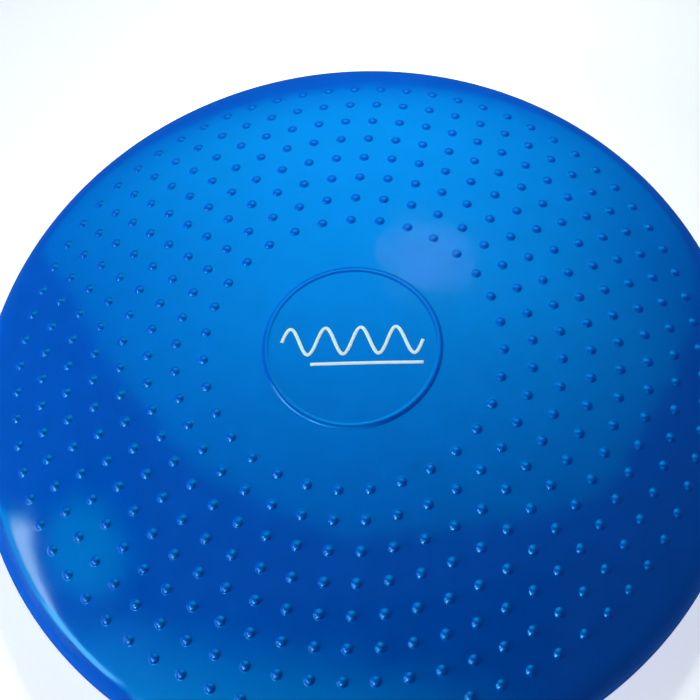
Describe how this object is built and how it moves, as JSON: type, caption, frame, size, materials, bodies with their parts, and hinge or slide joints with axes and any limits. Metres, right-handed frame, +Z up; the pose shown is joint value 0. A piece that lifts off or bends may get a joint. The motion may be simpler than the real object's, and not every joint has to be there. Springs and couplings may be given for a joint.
{
  "type": "wobble cushion",
  "caption": "Round inflatable balance cushion with a nubbed domed top, a raised central medallion, a spiked underside and a needle valve in its side.",
  "frame": {"origin": "on the floor under the centre of the cushion, at the tip of the middle spike", "axes": "+Z up along the cushion's axis; the valve is on the -Y side; +X to the right seen from the valve"},
  "size_m": [0.3308, 0.3307, 0.0668],
  "materials": {
    "vinyl": "glossy moulded soft PVC",
    "ink": "white screen print",
    "bung_rubber": "matt moulded rubber",
    "plug_plastic": "satin moulded plastic"
  },
  "bodies": {
    "base": {"lower_face": "vinyl"},
    "belly": {"lower_wall": "vinyl"},
    "rim": {"rim_band": "vinyl", "shoulder_ring": "vinyl", "valve_bung": "bung_rubber"},
    "top": {"upper_face": "vinyl", "printed_mark": "ink"},
    "plug": {"valve_plug": "plug_plastic"}
  },
  "joints": [
    {"name": "tilt_x", "type": "hinge", "parent": "base", "child": "belly", "pos_m": [0, 0, 0.03233], "axis": [1, 0, 0], "range_deg": [-5, 5], "stiffness_Nm_per_rad": 20, "deforming": ["lower_wall"]},
    {"name": "tilt_y", "type": "hinge", "parent": "belly", "child": "rim", "pos_m": [0, 0, 0.03233], "axis": [0, 1, 0], "range_deg": [-5, 5], "stiffness_Nm_per_rad": 20},
    {"name": "press", "type": "slide", "parent": "rim", "child": "top", "axis": [0, 0, 1], "range_m": [-0.012, 0], "stiffness_N_per_m": 25000, "deforming": ["shoulder_ring"]},
    {"name": "plug_pull", "type": "slide", "parent": "rim", "child": "plug", "axis": [0, -1, 0], "range_m": [0, 0.045]}
  ]
}
